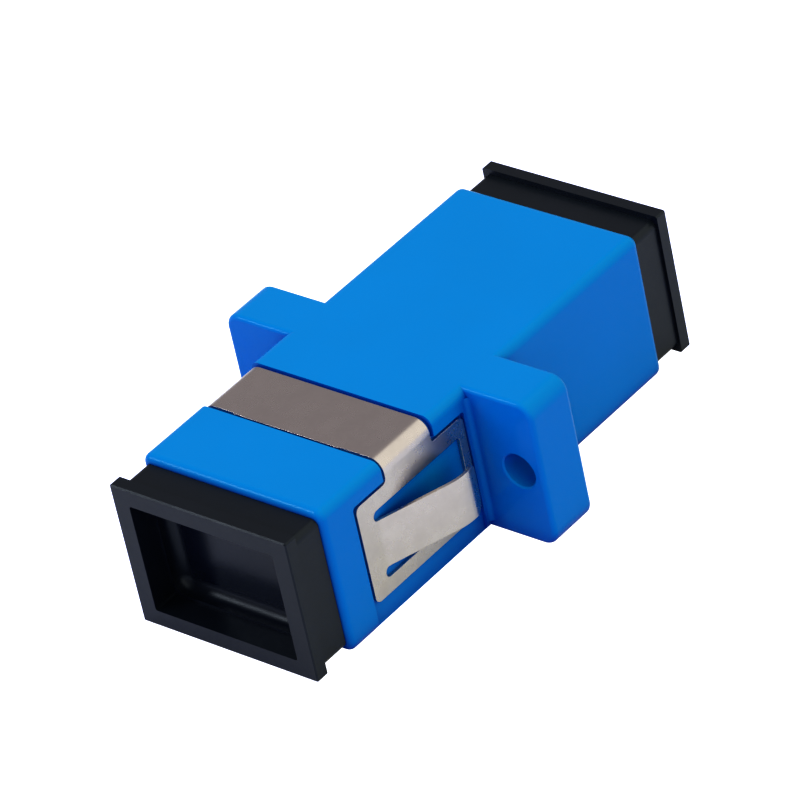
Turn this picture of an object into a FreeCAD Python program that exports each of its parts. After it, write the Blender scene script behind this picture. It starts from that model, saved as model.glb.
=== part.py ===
import FreeCAD, Part
import math
import os

# SC simplex fibre adapter with a flanged housing, a steel panel clip and two dust caps.
# Millimetres. The origin is on the optical axis, in the middle plane of the flange.
# X runs across the two flange ears, Y along the optical axis (front port at -Y), +Z is up:
# the clip's bridge crosses the top of the front half.

Vec = FreeCAD.Vector
OVERCUT = 1.0            # how far a cutting tool runs past the face that it opens

# Housing: body, flange and fixing holes
BODY_WIDTH = 13.25
BODY_HEIGHT = 9.75
BODY_LENGTH = 29.0
BODY_EDGE_ROUND = 0.6    # along the four long edges
BODY_END_ROUND = 0.45    # round both port faces
FLANGE_WIDTH = 22.5
FLANGE_THICKNESS = 3.45
EAR_CORNER_ROUND = 1.0
EAR_EDGE_ROUND = 0.3
EAR_ROOT_FILLET = 0.3
HOLE_INSET = 1.75        # from the end of an ear to the axis of its hole
HOLE_DIAMETER = 2.2
HOLE_EDGE_BREAK = 0.1

# Ports, keyways and the web between them
PORT_WIDTH = 9.1
PORT_HEIGHT = 7.5
PORT_CORNER_ROUND = 0.3
PORT_MOUTH_CHAMFER = 0.2
KEYWAY_WIDTH = 2.3
KEYWAY_DEPTH = 0.5
KEYWAY_LENGTH = 4.6
WEB_THICKNESS = 1.6
WEB_WINDOW_WIDTH = 6.6
WEB_WINDOW_HEIGHT = 5.4

# Panel clip, one stamped and folded sheet
CLIP_THICKNESS = 0.22
CLIP_BEND_INSIDE = 0.68
RECESS_DEPTH = 0.26         # the clip's recess; the sheet lies on its floor
CLIP_EDGE_GAP = 0.24        # between the sheet's edges and the walls of its recess
CLIP_TO_FLANGE = 0.57       # from the rear edge of a leg to the flange
LEG_LENGTH = 9.53           # along Y
LEG_HEIGHT = 6.6
LEG_TOP_DROP = 1.52         # from the top of the body to the top edge of a leg
LEG_CORNER_ROUND = 0.4
NECK_FRONT_FILLET = 0.35    # where the bridge's sides run into the top of a leg
NECK_REAR_FILLET = 0.2
BRIDGE_LENGTH = 4.06        # along Y
BRIDGE_SETBACK = 2.74       # from the front edge of a leg to the front edge of the bridge
SHEAR_STEP = 0.07           # the cut-off carrier tab stands this far out of the bridge's front edge
SHEAR_TAB_WIDTH = 7.7
SHEAR_TAB_OFFSET = -0.35    # of the middle of that tab from the middle of the bridge
RAIL_TOP = 1.1
RAIL_BOTTOM = 0.95
RAIL_REAR = 0.58
RAIL_FRONT = 1.2
SLOT_WIDTH = 0.7            # between the tongue and the rails above and below it
WINDOW_CORNER_ROUND = 0.2
TONGUE_RISE = 1.8           # the most that its outer face stands out of the leg
TONGUE_CREST_LENGTH = 0.94  # from the corner of the crest bend to that of the tip bend
TONGUE_TIP_ANGLE = 28.0     # by which the tip turns back, in degrees
TONGUE_TIP_LENGTH = 0.9
TONGUE_TIP_GAP = 1.3        # from the tip to the line of the leg's rear edge
TONGUE_ROOT_BEND = 1.0
TONGUE_CREST_BEND = 3.6
TONGUE_TIP_BEND = 0.5
TONGUE_CORNER_ROUND = 0.65

# Alignment sleeve, a split ceramic tube that floats in the two holders
FERRULE_BORE = 2.5
SLEEVE_OUTSIDE = 3.2
SLEEVE_LENGTH = 11.4
SLEEVE_SLIT = 0.4
SLEEVE_END_CHAMFER = 0.12
SLEEVE_RADIAL_PLAY = 0.06
SLEEVE_END_PLAY = 0.1

# Latch holders, one from each port, meeting in the web's window
HOLDER_FIT = 0.05        # to the walls of the port and of the window
HOLDER_PLATE = 1.4
HOLDER_MEETING_GAP = 0.05
BARREL_OUTSIDE = 4.6
BARREL_LIP = 0.6
BARREL_LIP_BORE = 2.9
BARREL_MOUTH_CHAMFER = 0.4
LATCH_FLEX_ROOM = 0.5    # between an arm and the wall of the port
LATCH_ARM_THICKNESS = 0.9
LATCH_ARM_WIDTH = 3.4
LATCH_REACH = 6.3        # from the plate to the tip
LATCH_HOOK_DEPTH = 0.7
LATCH_HOOK_LENGTH = 1.7
LATCH_HOOK_LAND = 0.3
LATCH_ROOT_FILLET = 0.4

# Dust caps, both the same
CAP_STANDOUT = 2.9       # from the port face to the outer face
CAP_SEAT_GAP = 0.05
LIP_WIDTH = 12.95
LIP_HEIGHT = 9.6
LIP_THICKNESS = 0.85
LIP_CORNER_ROUND = 0.15
LIP_EDGE_BREAK = 0.08
NECK_WIDTH = 12.6
NECK_HEIGHT = 8.85
NECK_CORNER_ROUND = 0.45
MOUTH_WIDTH = 10.5
MOUTH_HEIGHT = 7.3
MOUTH_DEPTH = 1.6
POCKET_INSET = 0.18      # the pocket is smaller than its mouth by this much on each side
POCKET_DEPTH = 2.5
POCKET_BOTTOM_ROUND = 0.7
PLUG_FIT = 0.1           # to the walls of the port
PLUG_LENGTH = 5.5
PLUG_WALL = 0.9
PLUG_PARTITION = 1.0
PLUG_CORNER_ROUND = 0.35
PLUG_LEAD_IN = 0.25

# Places that several pieces share
FRONT = -1.0
REAR = 1.0
PORT_FACE = BODY_LENGTH / 2
LEG_REAR_Y = -FLANGE_THICKNESS / 2 - CLIP_TO_FLANGE
LEG_FRONT_Y = LEG_REAR_Y - LEG_LENGTH
LEG_TOP_Z = BODY_HEIGHT / 2 - LEG_TOP_DROP
LEG_BOTTOM_Z = LEG_TOP_Z - LEG_HEIGHT
BRIDGE_FRONT_Y = LEG_FRONT_Y + BRIDGE_SETBACK
BRIDGE_REAR_Y = BRIDGE_FRONT_Y + BRIDGE_LENGTH
CLIP_BEND_OUTSIDE = CLIP_BEND_INSIDE + CLIP_THICKNESS
CLIP_WIDTH = BODY_WIDTH - 2 * (RECESS_DEPTH - CLIP_THICKNESS)
CLIP_TOP_Z = BODY_HEIGHT / 2 - (RECESS_DEPTH - CLIP_THICKNESS)


def box(x_span, y_span, z_span):
    """Box between three pairs of coordinates."""
    low = Vec(x_span[0], y_span[0], z_span[0])
    return Part.makeBox(x_span[1] - x_span[0], y_span[1] - y_span[0], z_span[1] - z_span[0], low)


def rounded_outline(width, height, corner, place):
    """Rounded rectangle centred on the origin; place(a, b) gives its points in space."""
    a = width / 2
    b = height / 2
    inset = corner * (1 - math.sqrt(0.5))
    edges = []
    for side_a, side_b in ((1, 1), (-1, 1), (-1, -1), (1, -1)):
        near = place(side_a * a, side_b * (b - corner))
        middle = place(side_a * (a - inset), side_b * (b - inset))
        far = place(side_a * (a - corner), side_b * b)
        ends = (near, far) if side_a * side_b > 0 else (far, near)
        edges.append((ends[0], middle, ends[1]))
    wire_edges = []
    for index, (start, middle, end) in enumerate(edges):
        wire_edges.append(Part.Arc(start, middle, end).toShape())
        wire_edges.append(Part.LineSegment(end, edges[(index + 1) % 4][0]).toShape())
    return Part.Wire(wire_edges)


def rounded_prism(width, height, corner, y_span):
    """Bar along Y with a rounded rectangular section centred on the optical axis."""
    outline = rounded_outline(width, height, corner, lambda x, z: Vec(x, y_span[0], z))
    return Part.Face(outline).extrude(Vec(0, y_span[1] - y_span[0], 0))


def side_plate(y_span, z_span, corner, x_span):
    """Plate square to X with rounded corners."""
    middle_y = (y_span[0] + y_span[1]) / 2
    middle_z = (z_span[0] + z_span[1]) / 2
    outline = rounded_outline(
        y_span[1] - y_span[0],
        z_span[1] - z_span[0],
        corner,
        lambda y, z: Vec(x_span[0], middle_y + y, middle_z + z),
    )
    return Part.Face(outline).extrude(Vec(x_span[1] - x_span[0], 0, 0))


def cylinder_y(radius, x, y_span):
    """Cylinder along Y at height zero."""
    return Part.makeCylinder(radius, y_span[1] - y_span[0], Vec(x, y_span[0], 0), Vec(0, 1, 0))


def cone_y(radius_start, radius_end, y_span):
    """Cone frustum along the optical axis."""
    return Part.makeCone(radius_start, radius_end, y_span[1] - y_span[0], Vec(0, y_span[0], 0), Vec(0, 1, 0))


def edges_in_plane_y(shape, y):
    """All edges of the shape that lie in the plane at y."""
    return [e for e in shape.Edges if abs(e.BoundBox.YMin - y) < 1e-5 and abs(e.BoundBox.YMax - y) < 1e-5]


def turned_round(shape):
    """The same piece seen from the other port: half a turn about Z."""
    turned = shape.copy()
    turned.rotate(Vec(0, 0, 0), Vec(0, 0, 1), 180)
    return turned


def mirrored_x(shape):
    return shape.mirror(Vec(0, 0, 0), Vec(1, 0, 0))


def housing_body():
    """Body bar with rounded ends."""
    bar = rounded_prism(BODY_WIDTH, BODY_HEIGHT, BODY_EDGE_ROUND, (-PORT_FACE, PORT_FACE))
    ends = edges_in_plane_y(bar, -PORT_FACE) + edges_in_plane_y(bar, PORT_FACE)
    return bar.makeFillet(BODY_END_ROUND, ends)


def housing_flange():
    """Flange plate with rounded edges and its two fixing holes."""
    half = FLANGE_THICKNESS / 2
    plate = rounded_prism(FLANGE_WIDTH, BODY_HEIGHT, EAR_CORNER_ROUND, (-half, half))
    rims = edges_in_plane_y(plate, -half) + edges_in_plane_y(plate, half)
    plate = plate.makeFillet(EAR_EDGE_ROUND, rims)
    for side in (-1, 1):
        hole = cylinder_y(HOLE_DIAMETER / 2, side * (FLANGE_WIDTH / 2 - HOLE_INSET), (-half, half))
        plate = plate.cut(hole)
    closed_circles = [e for e in plate.Edges if isinstance(e.Curve, Part.Circle) and e.isClosed()]
    hole_rims = [e for e in closed_circles if abs(e.Curve.Radius - HOLE_DIAMETER / 2) < 1e-6]
    return plate.makeChamfer(HOLE_EDGE_BREAK, hole_rims)


def ear_root_fillets():
    """Concave fillets where the sides of the body meet the flange."""
    radius = EAR_ROOT_FILLET
    wall = BODY_WIDTH / 2
    face = FLANGE_THICKNESS / 2
    top = BODY_HEIGHT / 2 - BODY_EDGE_ROUND
    fillets = []
    for side in (-1, 1):
        for end in (FRONT, REAR):
            corner = box(
                sorted((side * (wall - radius), side * (wall + radius))),
                sorted((end * (face - radius), end * (face + radius))),
                (-top, top),
            )
            hollow = Part.makeCylinder(
                radius, 2 * top, Vec(side * (wall + radius), end * (face + radius), -top), Vec(0, 0, 1)
            )
            fillets.append(corner.cut(hollow))
    return fillets


def port_hollow(end):
    """The space of one port, with its mouth chamfer and keyway."""
    mouth = end * PORT_FACE
    inner = end * WEB_THICKNESS / 2
    hollow = rounded_prism(PORT_WIDTH, PORT_HEIGHT, PORT_CORNER_ROUND, sorted((mouth, inner)))
    flare = rounded_prism(
        PORT_WIDTH + 2 * PORT_MOUTH_CHAMFER,
        PORT_HEIGHT + 2 * PORT_MOUTH_CHAMFER,
        PORT_CORNER_ROUND + PORT_MOUTH_CHAMFER,
        sorted((mouth, mouth - end * 2 * PORT_MOUTH_CHAMFER)),
    )
    inner_rim = edges_in_plane_y(flare, mouth - end * 2 * PORT_MOUTH_CHAMFER)
    hollow = hollow.fuse(flare.makeChamfer(PORT_MOUTH_CHAMFER, inner_rim))
    keyway = box(
        (-KEYWAY_WIDTH / 2, KEYWAY_WIDTH / 2),
        sorted((mouth, mouth - end * KEYWAY_LENGTH)),
        (0, PORT_HEIGHT / 2 + KEYWAY_DEPTH),
    )
    return hollow.fuse(keyway)


def clip_recess():
    """What is cut from the body so that the clip does not stand out of it."""
    floor_x = BODY_WIDTH / 2 - RECESS_DEPTH
    core = rounded_prism(
        2 * floor_x, BODY_HEIGHT - 2 * RECESS_DEPTH, CLIP_BEND_INSIDE, (-PORT_FACE, PORT_FACE)
    )
    outside = BODY_WIDTH / 2 + OVERCUT
    over = BODY_HEIGHT / 2 + OVERCUT
    bridge_way = box(
        (-outside, outside),
        (BRIDGE_FRONT_Y - CLIP_EDGE_GAP, BRIDGE_REAR_Y + CLIP_EDGE_GAP),
        (0, over),
    )
    leg_way = side_plate(
        (LEG_FRONT_Y - CLIP_EDGE_GAP, LEG_REAR_Y + CLIP_EDGE_GAP / 2),
        (-over - OVERCUT, LEG_TOP_Z + CLIP_EDGE_GAP),
        LEG_CORNER_ROUND / 2,
        (-outside, outside),
    )
    lower_corners = box((-outside, outside), (-PORT_FACE, 0), (-over - 2 * OVERCUT, -BODY_HEIGHT / 2))
    inside = box((-floor_x, floor_x), (-PORT_FACE, 0), (-over, over))
    sides = leg_way.cut([lower_corners, inside])
    return bridge_way.cut(core).fuse(sides)


def housing():
    """Blue moulded housing in one piece."""
    shell = housing_body().fuse([housing_flange()] + ear_root_fillets())
    window = box(
        (-WEB_WINDOW_WIDTH / 2, WEB_WINDOW_WIDTH / 2),
        (-PORT_FACE, PORT_FACE),
        (-WEB_WINDOW_HEIGHT / 2, WEB_WINDOW_HEIGHT / 2),
    )
    shell = shell.cut([port_hollow(FRONT), port_hollow(REAR), window, clip_recess()])
    return shell.removeSplitter()


def clip_blank():
    """Sheet folded over the body: a bridge with a leg on each side, without its outline."""
    y_span = (LEG_FRONT_Y, LEG_REAR_Y)
    outer = rounded_prism(CLIP_WIDTH, 2 * CLIP_TOP_Z, CLIP_BEND_OUTSIDE, y_span)
    inner = rounded_prism(
        CLIP_WIDTH - 2 * CLIP_THICKNESS, 2 * (CLIP_TOP_Z - CLIP_THICKNESS), CLIP_BEND_INSIDE, y_span
    )
    below = box((-BODY_WIDTH, BODY_WIDTH), y_span, (-BODY_HEIGHT, LEG_BOTTOM_Z))
    return outer.cut([inner, below])


def clip_outline():
    """Outline of the bridge and the legs, seen from the side, as a bar along X."""
    x_span = (-BODY_WIDTH, BODY_WIDTH)
    leg = side_plate((LEG_FRONT_Y, LEG_REAR_Y), (LEG_BOTTOM_Z, LEG_TOP_Z), LEG_CORNER_ROUND, x_span)
    bridge = box(x_span, (BRIDGE_FRONT_Y, BRIDGE_REAR_Y), (0, BODY_HEIGHT))
    tab = box(
        (SHEAR_TAB_OFFSET - SHEAR_TAB_WIDTH / 2, SHEAR_TAB_OFFSET + SHEAR_TAB_WIDTH / 2),
        (BRIDGE_FRONT_Y - SHEAR_STEP, BRIDGE_REAR_Y),
        (0, BODY_HEIGHT),
    )
    outline = leg.fuse(bridge)
    for neck_y, fillet in ((BRIDGE_FRONT_Y, NECK_FRONT_FILLET), (BRIDGE_REAR_Y, NECK_REAR_FILLET)):
        corner = Vec(0, neck_y, LEG_TOP_Z)
        corner_edges = [e for e in outline.Edges if e.CenterOfMass.isEqual(corner, 1e-6)]
        outline = outline.makeFillet(fillet, corner_edges)
    return outline.fuse(tab)


def leg_window():
    """Opening of the leg round the tongue: two slots that run into one window."""
    x_span = (-BODY_WIDTH, BODY_WIDTH)
    top = LEG_TOP_Z - RAIL_TOP
    bottom = LEG_BOTTOM_Z + RAIL_BOTTOM
    rear = LEG_REAR_Y - RAIL_REAR
    root = LEG_FRONT_Y + RAIL_FRONT + SLOT_WIDTH / 2
    window = side_plate((root, rear), (bottom, top), WINDOW_CORNER_ROUND, x_span)
    slots = []
    for middle in (top - SLOT_WIDTH / 2, bottom + SLOT_WIDTH / 2):
        end_place = Vec(-BODY_WIDTH, root, middle)
        end_round = Part.makeCylinder(SLOT_WIDTH / 2, 2 * BODY_WIDTH, end_place, Vec(1, 0, 0))
        way = box(x_span, (root, root + SLOT_WIDTH), (middle - SLOT_WIDTH / 2, middle + SLOT_WIDTH / 2))
        slots += [end_round, way]
    return window.fuse(slots)


def bent_strip(points, bends, thickness):
    """Face of a folded strip in the XY plane; points are the corners of its middle line."""
    runs = [(end - start).normalize() for start, end in zip(points, points[1:])]
    normals = [Vec(-run.y, run.x, 0) for run in runs]
    sides = []
    for offset in (thickness / 2, -thickness / 2):
        cursor = points[0] + normals[0] * offset
        edges = []
        for index, bend in enumerate(bends):
            turn = math.atan2(runs[index].cross(runs[index + 1]).z, runs[index].dot(runs[index + 1]))
            side = math.copysign(1, turn)
            tangent = bend * math.tan(abs(turn) / 2)
            start = points[index + 1] - runs[index] * tangent
            end = points[index + 1] + runs[index + 1] * tangent
            centre = start + normals[index] * (side * bend)
            middle = (points[index + 1] - centre).normalize()
            radius = bend - side * offset
            arc_start = start + normals[index] * offset
            arc_end = end + normals[index + 1] * offset
            edges.append((cursor, None, arc_start))
            edges.append((arc_start, centre + middle * radius, arc_end))
            cursor = arc_end
        edges.append((cursor, None, points[-1] + normals[-1] * offset))
        sides.append(edges)
    outline = []
    for start, middle, end in sides[0] + sides[1]:
        curve = Part.LineSegment(start, end) if middle is None else Part.Arc(start, middle, end)
        outline.append(curve.toShape())
    for side_start, side_end in ((sides[0][0][0], sides[1][0][0]), (sides[0][-1][2], sides[1][-1][2])):
        outline.append(Part.LineSegment(side_start, side_end).toShape())
    return Part.Face(Part.Wire(Part.__sortEdges__(outline)))


def clip_tongue():
    """Spring tongue of the right leg: it rises towards the flange and its tip turns back."""
    middle_x = CLIP_WIDTH / 2 - CLIP_THICKNESS / 2
    root_y = LEG_FRONT_Y + RAIL_FRONT + SLOT_WIDTH / 2
    tip_y = LEG_REAR_Y - TONGUE_TIP_GAP
    tip_fall = TONGUE_TIP_LENGTH * math.sin(math.radians(TONGUE_TIP_ANGLE))
    tip_run = TONGUE_TIP_LENGTH * math.cos(math.radians(TONGUE_TIP_ANGLE))
    line = [
        Vec(middle_x, root_y - RAIL_FRONT / 2, 0),
        Vec(middle_x, root_y, 0),
        Vec(middle_x + TONGUE_RISE, tip_y - tip_run - TONGUE_CREST_LENGTH, 0),
        Vec(middle_x + TONGUE_RISE, tip_y - tip_run, 0),
        Vec(middle_x + TONGUE_RISE - tip_fall, tip_y, 0),
    ]
    bends = [TONGUE_ROOT_BEND, TONGUE_CREST_BEND, TONGUE_TIP_BEND]
    low = LEG_BOTTOM_Z + RAIL_BOTTOM + SLOT_WIDTH
    high = LEG_TOP_Z - RAIL_TOP - SLOT_WIDTH
    strip = bent_strip(line, bends, CLIP_THICKNESS).extrude(Vec(0, 0, high - low))
    strip.translate(Vec(0, 0, low))
    root_end = line[0].y - TONGUE_CORNER_ROUND
    outline = side_plate((root_end, tip_y), (low, high), TONGUE_CORNER_ROUND, (0, BODY_WIDTH))
    return strip.common(outline)


def panel_clip():
    """Stainless clip: bridge, two legs and their tongues in one sheet."""
    sheet = clip_blank().common(clip_outline()).cut(leg_window())
    tongue = clip_tongue()
    return sheet.fuse([tongue, mirrored_x(tongue)]).removeSplitter()


def alignment_sleeve():
    """Split zirconia tube, slit along the bottom."""
    half = SLEEVE_LENGTH / 2
    tube = cylinder_y(SLEEVE_OUTSIDE / 2, 0, (-half, half))
    rims = [e for e in tube.Edges if isinstance(e.Curve, Part.Circle)]
    tube = tube.makeChamfer(SLEEVE_END_CHAMFER, rims)
    bore = cylinder_y(FERRULE_BORE / 2, 0, (-half, half))
    slit = box((-SLEEVE_SLIT / 2, SLEEVE_SLIT / 2), (-half, half), (-SLEEVE_OUTSIDE, 0))
    return tube.cut([bore, slit])


def holder_barrel():
    """Barrel that carries half of the sleeve behind an inward lip, towards the rear port."""
    room = SLEEVE_LENGTH / 2 + SLEEVE_END_PLAY
    end = room + BARREL_LIP
    barrel = cylinder_y(BARREL_OUTSIDE / 2, 0, (HOLDER_MEETING_GAP / 2, end))
    return barrel.makeChamfer(BARREL_MOUTH_CHAMFER, edges_in_plane_y(barrel, end))


def holder_bore():
    """The room for the sleeve, the opening of the lip and its lead-in."""
    room = SLEEVE_LENGTH / 2 + SLEEVE_END_PLAY
    end = room + BARREL_LIP
    seat = cylinder_y(SLEEVE_OUTSIDE / 2 + SLEEVE_RADIAL_PLAY, 0, (0, room))
    opening = cylinder_y(BARREL_LIP_BORE / 2, 0, (0, end))
    lead_in = cone_y(BARREL_LIP_BORE / 2, BARREL_LIP_BORE / 2 + BARREL_LIP / 2, (end - BARREL_LIP / 2, end))
    return seat.fuse([opening, lead_in])


def latch_arm():
    """Arm on the right of the rear port, with its hook turned to the barrel."""
    plate_y = WEB_THICKNESS / 2 + HOLDER_PLATE
    tip_y = plate_y + LATCH_REACH
    outer_x = PORT_WIDTH / 2 - LATCH_FLEX_ROOM
    inner_x = outer_x - LATCH_ARM_THICKNESS
    hook_x = inner_x - LATCH_HOOK_DEPTH
    catch_y = tip_y - LATCH_HOOK_LENGTH
    outline = [
        Vec(outer_x, plate_y - HOLDER_PLATE / 2, 0),
        Vec(outer_x, tip_y, 0),
        Vec(inner_x + LATCH_ARM_THICKNESS / 3, tip_y, 0),
        Vec(hook_x, catch_y + LATCH_HOOK_LAND, 0),
        Vec(hook_x, catch_y, 0),
        Vec(inner_x, catch_y, 0),
        Vec(inner_x, plate_y - HOLDER_PLATE / 2, 0),
    ]
    arm = Part.Face(Part.makePolygon(outline + [outline[0]])).extrude(Vec(0, 0, LATCH_ARM_WIDTH))
    arm.translate(Vec(0, 0, -LATCH_ARM_WIDTH / 2))
    return arm


def latch_root():
    """Fillet between the outer face of an arm and the plate."""
    radius = LATCH_ROOT_FILLET
    plate_y = WEB_THICKNESS / 2 + HOLDER_PLATE
    outer_x = PORT_WIDTH / 2 - LATCH_FLEX_ROOM
    block = box(
        (outer_x - radius, outer_x + radius),
        (plate_y - radius, plate_y + radius),
        (-LATCH_ARM_WIDTH / 2, LATCH_ARM_WIDTH / 2),
    )
    hollow = Part.makeCylinder(
        radius, LATCH_ARM_WIDTH, Vec(outer_x + radius, plate_y + radius, -LATCH_ARM_WIDTH / 2), Vec(0, 0, 1)
    )
    return block.cut(hollow)


def latch_holder():
    """Holder of the rear port: plate, spigot, barrel and two latch arms in one piece."""
    web = WEB_THICKNESS / 2
    plate = rounded_prism(
        PORT_WIDTH - 2 * HOLDER_FIT,
        PORT_HEIGHT - 2 * HOLDER_FIT,
        PORT_CORNER_ROUND,
        (web, web + HOLDER_PLATE),
    )
    spigot_x = WEB_WINDOW_WIDTH / 2 - HOLDER_FIT
    spigot_z = WEB_WINDOW_HEIGHT / 2 - HOLDER_FIT
    spigot = box(
        (-spigot_x, spigot_x),
        (HOLDER_MEETING_GAP / 2, web + HOLDER_PLATE / 2),
        (-spigot_z, spigot_z),
    )
    arm = latch_arm().fuse(latch_root())
    bounds = box((-PORT_WIDTH, PORT_WIDTH / 2 - HOLDER_FIT), (0, BODY_LENGTH), (-PORT_HEIGHT, PORT_HEIGHT))
    arm = arm.common(bounds)
    holder = plate.fuse([spigot, holder_barrel(), arm, mirrored_x(arm)])
    return holder.cut(holder_bore()).removeSplitter()


def cap_pocket():
    """Open hollow of the outer face: a mouth, a small step and a rounded bottom."""
    face_y = -PORT_FACE - CAP_STANDOUT
    mouth = rounded_prism(MOUTH_WIDTH, MOUTH_HEIGHT, LIP_CORNER_ROUND, (face_y, face_y + MOUTH_DEPTH))
    bottom_y = face_y + POCKET_DEPTH
    pocket = rounded_prism(
        MOUTH_WIDTH - 2 * POCKET_INSET,
        MOUTH_HEIGHT - 2 * POCKET_INSET,
        POCKET_BOTTOM_ROUND + LIP_CORNER_ROUND,
        (face_y, bottom_y),
    )
    pocket = pocket.makeFillet(POCKET_BOTTOM_ROUND, edges_in_plane_y(pocket, bottom_y))
    return mouth.fuse(pocket)


def cap_plug():
    """Hollow plug that fills the mouth of the port, open towards the web."""
    seat_y = -PORT_FACE - CAP_SEAT_GAP
    end_y = -PORT_FACE + PLUG_LENGTH
    width = PORT_WIDTH - 2 * PLUG_FIT
    height = PORT_HEIGHT - 2 * PLUG_FIT
    plug = rounded_prism(width, height, PLUG_CORNER_ROUND, (seat_y, end_y))
    plug = plug.makeChamfer(PLUG_LEAD_IN, edges_in_plane_y(plug, end_y))
    hollow_x = width / 2 - PLUG_WALL
    hollow_z = height / 2 - PLUG_WALL
    hollow = box((-hollow_x, hollow_x), (-PORT_FACE + PLUG_PARTITION, end_y), (-hollow_z, hollow_z))
    return plug.cut(hollow)


def dust_cap():
    """Black cap of the front port: lip, neck and plug in one moulding."""
    face_y = -PORT_FACE - CAP_STANDOUT
    seat_y = -PORT_FACE - CAP_SEAT_GAP
    lip = rounded_prism(LIP_WIDTH, LIP_HEIGHT, LIP_CORNER_ROUND, (face_y, face_y + LIP_THICKNESS))
    lip = lip.makeChamfer(LIP_EDGE_BREAK, edges_in_plane_y(lip, face_y))
    neck = rounded_prism(NECK_WIDTH, NECK_HEIGHT, NECK_CORNER_ROUND, (face_y + LIP_THICKNESS / 2, seat_y))
    return lip.fuse([neck, cap_plug()]).cut(cap_pocket()).removeSplitter()


def save(name, shape):
    shape.exportStep(os.path.join("parts", name + ".step"))


def main():
    os.makedirs("parts", exist_ok=True)
    holder = latch_holder()
    cap = dust_cap()
    save("housing", housing())
    save("panel_clip", panel_clip())
    save("alignment_sleeve", alignment_sleeve())
    save("latch_holder_rear", holder)
    save("latch_holder_front", turned_round(holder))
    save("dust_cap_front", cap)
    save("dust_cap_rear", turned_round(cap))


main()
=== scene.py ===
import math

import bpy
from mathutils import Matrix, Vector


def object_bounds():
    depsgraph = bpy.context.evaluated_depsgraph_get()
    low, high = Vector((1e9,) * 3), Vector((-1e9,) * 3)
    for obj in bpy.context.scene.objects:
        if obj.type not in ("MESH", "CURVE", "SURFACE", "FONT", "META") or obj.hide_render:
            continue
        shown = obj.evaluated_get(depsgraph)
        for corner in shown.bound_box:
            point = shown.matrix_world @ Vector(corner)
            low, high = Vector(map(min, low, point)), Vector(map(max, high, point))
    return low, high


MM = 0.001

# Camera: direction, roll and distance as in the picture of the object
VIEW_AZIMUTH = 46.06
VIEW_ELEVATION = 34.35
VIEW_ROLL = 12.66
VIEW_DISTANCE = 332.1 * MM
VIEW_OFFSET_RIGHT = -0.42 * MM
VIEW_OFFSET_UP = 0.73 * MM
LENS = 262.8
SENSOR = 36.0
CLIP_START = 0.01
CLIP_END = 5.0

# Light tent: radiance of its walls and of its bright panel, as light and as seen in gloss
TENT_WALL = (0.5, 0.6, 0.93)
TENT_PANEL = (1.0, 1.06, 0.77)
MIRRORED_WALL = (0.303, 0.278, 0.28)
MIRRORED_PANEL = (0.88, 0.84, 0.75)
PANEL_DIRECTION = (0.78, 0.2, 0.59)

# Cosine of the angle to the panel's middle at which the wall ends, and at which the panel is full
PANEL_EDGE = (0.35, 0.7)
MIRRORED_PANEL_EDGE = (0.42, 0.56)

# Light table: half its width, and its colours as light and as seen in gloss
FLOOR_HALF = 1.5
FLOOR_LIGHT = (0.26, 0.29, 0.85)
MIRRORED_FLOOR = (0.82, 0.75, 0.86)

# Softboxes: how far they stand from the object
SOFTBOX_DISTANCE = 0.6

# Part of a noise's range, 0 to 1, that holds nearly all of its values
NOISE_CORE = (0.35, 0.65)
NOISE_RANGE = (0.3, 0.7)

# Moulded plastic: scales of its flow marks, gloss patches and eroded grain, in waves a metre
FLOW_SCALE = 160
PATCH_SCALE = 600
GRAIN_SCALE = 2500
GRAIN_HEIGHT = 0.002 * MM
ROUGHNESS_SPREAD = 0.03

# How far the blue plastic looks round for other surfaces for its painted shade, and the share of
# open sky at which its colour is painted deep with shade and at which it is plain
PAINTED_SHADE_REACH = 1.7 * MM
PAINTED_SHADE_OPENNESS = (0.35, 0.92)

# Polished part of the dust caps, seen along the optical axis
POCKET_HALF_WIDTH = 4.4 * MM
POCKET_HALF_HEIGHT = 2.8 * MM
POCKET_EDGE = 0.1 * MM
POCKET_ROUGHNESS = 0.2

# Stamped sheet: its clouds, its rolling grain and its rolled-over edges, in its shading
CLOUD_SCALE = 700
SHEET_ROUGHNESS = (0.24, 0.32)
ROLLING_SCALE = 900
ROLLING_STRETCH = (1, 4, 4)
ROLLING_HEIGHT = 0.0005 * MM
SHEET_EDGE_ROUND = 0.05 * MM

# Ceramic of the sleeve
CERAMIC_SCALE = 500
CERAMIC_ROUGHNESS = (0.14, 0.2)

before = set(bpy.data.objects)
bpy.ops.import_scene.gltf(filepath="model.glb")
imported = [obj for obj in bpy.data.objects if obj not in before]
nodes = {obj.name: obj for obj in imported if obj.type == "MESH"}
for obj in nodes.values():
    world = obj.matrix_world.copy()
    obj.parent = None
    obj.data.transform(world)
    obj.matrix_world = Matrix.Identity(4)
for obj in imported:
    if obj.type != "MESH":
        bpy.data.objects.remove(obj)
cad_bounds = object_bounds()


def view_axes(azimuth, elevation, roll):
    """Right, up and back directions of a camera that looks at the object from that side."""
    a = math.radians(azimuth)
    e = math.radians(elevation)
    r = math.radians(roll)
    back = Vector((math.sin(a) * math.cos(e), -math.cos(a) * math.cos(e), math.sin(e)))
    right = Vector((math.cos(a), math.sin(a), 0))
    up = back.cross(right)
    rolled_right = right * math.cos(r) - up * math.sin(r)
    rolled_up = right * math.sin(r) + up * math.cos(r)
    return rolled_right, rolled_up, back


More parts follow.
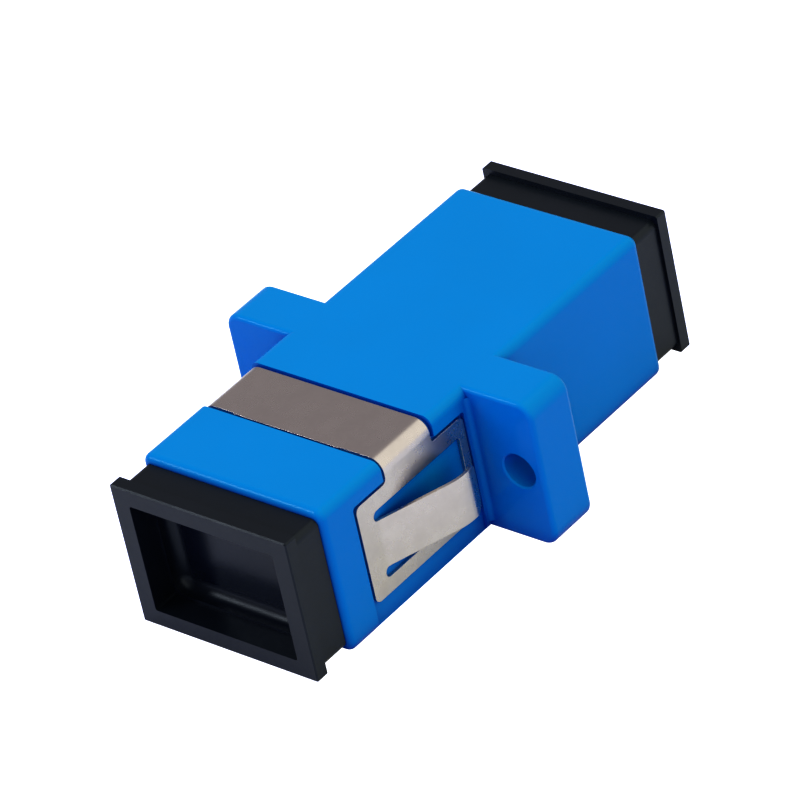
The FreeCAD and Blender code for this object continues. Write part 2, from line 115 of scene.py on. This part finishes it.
def add_camera():
    right, up, back = view_axes(VIEW_AZIMUTH, VIEW_ELEVATION, VIEW_ROLL)
    data = bpy.data.cameras.new("camera")
    data.lens = LENS
    data.sensor_width = SENSOR
    data.clip_start = CLIP_START
    data.clip_end = CLIP_END
    camera = bpy.data.objects.new("camera", data)
    place = Matrix((right, up, back)).transposed().to_4x4()
    place.translation = back * VIEW_DISTANCE + right * VIEW_OFFSET_RIGHT + up * VIEW_OFFSET_UP
    camera.matrix_world = place
    bpy.context.scene.collection.objects.link(camera)
    bpy.context.scene.camera = camera


def new_material(name):
    """Empty node material; gives the material, its nodes and its Principled shader."""
    material = bpy.data.materials.new(name)
    material.use_nodes = True
    tree = material.node_tree
    return material, tree, tree.nodes["Principled BSDF"]


def noise(tree, coordinates, scale, detail=4.0, roughness=0.5):
    node = tree.nodes.new("ShaderNodeTexNoise")
    node.inputs["Scale"].default_value = scale
    node.inputs["Detail"].default_value = detail
    node.inputs["Roughness"].default_value = roughness
    tree.links.new(coordinates, node.inputs["Vector"])
    return node.outputs["Fac"]


def ramp(tree, value, span, values=(0, 1)):
    """Maps value from the span's low and high end to the two values, and holds it there beyond."""
    node = tree.nodes.new("ShaderNodeMapRange")
    node.inputs["From Min"].default_value = span[0]
    node.inputs["From Max"].default_value = span[1]
    node.inputs["To Min"].default_value = values[0]
    node.inputs["To Max"].default_value = values[1]
    tree.links.new(value, node.inputs["Value"])
    return node.outputs["Result"]


def mix_colours(tree, factor, first, second):
    """Between two colours, each a fixed one or another node's output."""
    node = tree.nodes.new("ShaderNodeMix")
    node.data_type = "RGBA"
    for socket, colour in (("A", first), ("B", second)):
        if isinstance(colour, tuple):
            node.inputs[socket].default_value = (*colour, 1)
        else:
            tree.links.new(colour, node.inputs[socket])
    tree.links.new(factor, node.inputs["Factor"])
    return node.outputs["Result"]


def product(tree, first, second):
    node = tree.nodes.new("ShaderNodeMath")
    node.operation = "MULTIPLY"
    tree.links.new(first, node.inputs[0])
    tree.links.new(second, node.inputs[1])
    return node.outputs["Value"]


def within(tree, value, limit, soft):
    """1 where the size of value is under limit, and 0 beyond it."""
    size = tree.nodes.new("ShaderNodeMath")
    size.operation = "ABSOLUTE"
    tree.links.new(value, size.inputs[0])
    return ramp(tree, size.outputs["Value"], (limit - soft, limit), (1, 0))


def add_bump(tree, shader, height, distance):
    """Gives the shader a relief of that height; returns the relief's node."""
    node = tree.nodes.new("ShaderNodeBump")
    node.inputs["Distance"].default_value = distance
    tree.links.new(height, node.inputs["Height"])
    tree.links.new(node.outputs["Normal"], shader.inputs["Normal"])
    return node


def object_coordinates(tree, scale=(1, 1, 1)):
    """Object coordinates in metres, stretched by scale."""
    place = tree.nodes.new("ShaderNodeTexCoord")
    stretch = tree.nodes.new("ShaderNodeMapping")
    stretch.inputs["Scale"].default_value = scale
    tree.links.new(place.outputs["Object"], stretch.inputs["Vector"])
    return stretch.outputs["Vector"]


def moulded_plastic(name, light, dark, roughness, specular, tint):
    """Injection-moulded plastic: faint flow marks in its colour and a fine eroded grain.

    Gives the material and the outputs that make its colour and its roughness.
    """
    material, tree, shader = new_material(name)
    place = object_coordinates(tree)
    flow = ramp(tree, noise(tree, place, FLOW_SCALE), NOISE_CORE)
    colour = mix_colours(tree, flow, light, dark)
    tree.links.new(colour, shader.inputs["Base Color"])
    spread = (roughness - ROUGHNESS_SPREAD, roughness + ROUGHNESS_SPREAD)
    rough = ramp(tree, noise(tree, place, PATCH_SCALE), NOISE_RANGE, spread)
    tree.links.new(rough, shader.inputs["Roughness"])
    add_bump(tree, shader, noise(tree, place, GRAIN_SCALE, detail=1), GRAIN_HEIGHT)
    shader.inputs["Specular IOR Level"].default_value = specular
    shader.inputs["Specular Tint"].default_value = (*tint, 1)
    return material, colour, rough


def openness_for_painted_shade(tree):
    """1 on open faces, and lower in holes, slots and corners; it places the painted shade on the
    blue plastic's colour.
    """
    node = tree.nodes.new("ShaderNodeAmbientOcclusion")
    node.samples = 8
    node.inputs["Distance"].default_value = PAINTED_SHADE_REACH
    return ramp(tree, node.outputs["AO"], PAINTED_SHADE_OPENNESS)


def housing_plastic():
    """Glossy blue plastic of the housing, with painted shade: a deeper blue where the surface is
    closed in.
    """
    material, colour, _ = moulded_plastic(
        "blue_moulding",
        light=(0, 0.205, 0.56),
        dark=(0, 0.2, 0.545),
        roughness=0.19,
        specular=0.17,
        tint=(0.4, 0.9, 1),
    )
    tree = material.node_tree
    # Painted shade: the base colour is darkened to deep navy where ambient occlusion finds the
    # surface closed in, in holes, slots and corners and near the floor
    painted_shade_colour = mix_colours(tree, openness_for_painted_shade(tree), (0, 0.065, 0.37), colour)
    tree.links.new(painted_shade_colour, tree.nodes["Principled BSDF"].inputs["Base Color"])
    return material


def holder_plastic():
    """Satin blue plastic of the latch holders."""
    return moulded_plastic(
        "holder_moulding",
        light=(0.001, 0.215, 0.68),
        dark=(0.001, 0.205, 0.65),
        roughness=0.45,
        specular=0.3,
        tint=(0.3, 0.7, 1),
    )[0]


def cap_plastic():
    """Black plastic of the caps: satin outside, polished in the pocket."""
    material, _, rough = moulded_plastic(
        "black_moulding",
        light=(0.008, 0.0105, 0.018),
        dark=(0.007, 0.0095, 0.016),
        roughness=0.36,
        specular=0.42,
        tint=(0.8, 0.9, 1),
    )
    tree = material.node_tree
    axes = tree.nodes.new("ShaderNodeSeparateXYZ")
    tree.links.new(object_coordinates(tree), axes.inputs["Vector"])
    pocket = product(
        tree,
        within(tree, axes.outputs["X"], POCKET_HALF_WIDTH, POCKET_EDGE),
        within(tree, axes.outputs["Z"], POCKET_HALF_HEIGHT, POCKET_EDGE),
    )
    polished = tree.nodes.new("ShaderNodeMix")
    polished.inputs["B"].default_value = POCKET_ROUGHNESS
    tree.links.new(pocket, polished.inputs["Factor"])
    tree.links.new(rough, polished.inputs["A"])
    tree.links.new(polished.outputs["Result"], tree.nodes["Principled BSDF"].inputs["Roughness"])
    return material


def stamped_steel():
    """Cold-rolled stainless sheet: cloudy satin with a faint rolling grain."""
    material, tree, shader = new_material("clip_steel")
    place = object_coordinates(tree)
    clouds = ramp(tree, noise(tree, place, CLOUD_SCALE, detail=6, roughness=0.6), NOISE_CORE)
    colour = mix_colours(tree, clouds, (0.6, 0.565, 0.55), (0.545, 0.51, 0.5))
    tree.links.new(colour, shader.inputs["Base Color"])
    tree.links.new(ramp(tree, clouds, (0, 1), SHEET_ROUGHNESS), shader.inputs["Roughness"])
    grain = noise(tree, object_coordinates(tree, ROLLING_STRETCH), ROLLING_SCALE, detail=2)
    rounding = tree.nodes.new("ShaderNodeBevel")
    rounding.inputs["Radius"].default_value = SHEET_EDGE_ROUND
    relief = add_bump(tree, shader, grain, ROLLING_HEIGHT)
    tree.links.new(rounding.outputs["Normal"], relief.inputs["Normal"])
    shader.inputs["Metallic"].default_value = 1.0
    return material


def zirconia():
    """Ground zirconia: off-white with a soft polish."""
    material, tree, shader = new_material("zirconia")
    cloud = noise(tree, object_coordinates(tree), CERAMIC_SCALE)
    colour = mix_colours(tree, cloud, (0.86, 0.85, 0.82), (0.8, 0.79, 0.75))
    tree.links.new(colour, shader.inputs["Base Color"])
    rough = ramp(tree, cloud, NOISE_RANGE, CERAMIC_ROUGHNESS)
    tree.links.new(rough, shader.inputs["Roughness"])
    return material


def seen_in_gloss(tree):
    """1 for what the object mirrors straight to the eye, and 0 for what lights it."""
    path = tree.nodes.new("ShaderNodeLightPath")
    before_diffuse = ramp(tree, path.outputs["Diffuse Depth"], (0, 1), (1, 0))
    return product(tree, path.outputs["Is Glossy Ray"], before_diffuse)


def floor_material():
    """Light table: plain white to the eye, dimmer as the light on the object and in its gloss."""
    material, tree, shader = new_material("floor")
    path = tree.nodes.new("ShaderNodeLightPath")
    colour = mix_colours(tree, seen_in_gloss(tree), FLOOR_LIGHT, MIRRORED_FLOOR)
    tree.links.new(colour, shader.inputs["Base Color"])
    shader.inputs["Roughness"].default_value = 0.9
    shader.inputs["Specular IOR Level"].default_value = 0.0
    cloud = noise(tree, object_coordinates(tree), 8)
    white = mix_colours(tree, cloud, (1, 1, 1), (0.99, 0.99, 0.99))
    tree.links.new(white, shader.inputs["Emission Color"])
    tree.links.new(path.outputs["Is Camera Ray"], shader.inputs["Emission Strength"])
    return material


def dress(node, material):
    """Gives a CAD node its material."""
    for slot in nodes[node].material_slots:
        slot.material = material


def dress_nodes():
    black = cap_plastic()
    holder = holder_plastic()
    dress("housing", housing_plastic())
    dress("panel_clip", stamped_steel())
    dress("alignment_sleeve", zirconia())
    for end in ("front", "rear"):
        dress("dust_cap_" + end, black)
        dress("latch_holder_" + end, holder)


def add_floor():
    lowest = cad_bounds[0][2]
    sides = ((-1, -1), (1, -1), (1, 1), (-1, 1))
    corners = [(x * FLOOR_HALF, y * FLOOR_HALF, lowest) for x, y in sides]
    mesh = bpy.data.meshes.new("floor")
    mesh.from_pydata(corners, [], [(0, 1, 2, 3)])
    mesh.materials.append(floor_material())
    floor = bpy.data.objects.new("floor", mesh)
    bpy.context.scene.collection.objects.link(floor)


def add_softbox(name, azimuth, elevation, size, power, colour=(1, 1, 1)):
    """Rectangular area light, aimed at the object from that side."""
    right, up, back = view_axes(azimuth, elevation, 0)
    data = bpy.data.lights.new(name, "AREA")
    data.shape = "RECTANGLE"
    data.size, data.size_y = size
    data.energy = power
    data.color = colour
    light = bpy.data.objects.new(name, data)
    place = Matrix((right, up, back)).transposed().to_4x4()
    place.translation = back * SOFTBOX_DISTANCE
    light.matrix_world = place
    bpy.context.scene.collection.objects.link(light)
    return light


def add_world():
    """Light tent: dim walls, and a wide bright panel above the object's right rear."""
    world = bpy.data.worlds.new("studio")
    world.use_nodes = True
    tree = world.node_tree
    place = tree.nodes.new("ShaderNodeTexCoord")
    towards = tree.nodes.new("ShaderNodeVectorMath")
    towards.operation = "DOT_PRODUCT"
    towards.inputs[1].default_value = Vector(PANEL_DIRECTION).normalized()
    tree.links.new(place.outputs["Generated"], towards.inputs[0])
    cosine = towards.outputs["Value"]
    glow = mix_colours(tree, ramp(tree, cosine, PANEL_EDGE), TENT_WALL, TENT_PANEL)
    sharper = ramp(tree, cosine, MIRRORED_PANEL_EDGE)
    mirrored = mix_colours(tree, sharper, MIRRORED_WALL, MIRRORED_PANEL)
    seen = mix_colours(tree, seen_in_gloss(tree), glow, mirrored)
    tree.links.new(seen, tree.nodes["Background"].inputs["Color"])
    bpy.context.scene.world = world


def add_light():
    """The tent, a softbox above that gloss doesn't show, and a slim one at the front left."""
    add_world()
    above = add_softbox("top_softbox", 0, 89, (0.4, 0.4), 0.64, (0.9, 1, 0.22))
    above.visible_glossy = False
    add_softbox("front_left_softbox", -46, 35, (0.07, 0.3), 0.5)


bpy.context.scene.view_settings.view_transform = "Standard"
bpy.context.scene.view_settings.look = "High Contrast"
add_camera()
add_floor()
add_light()
dress_nodes()
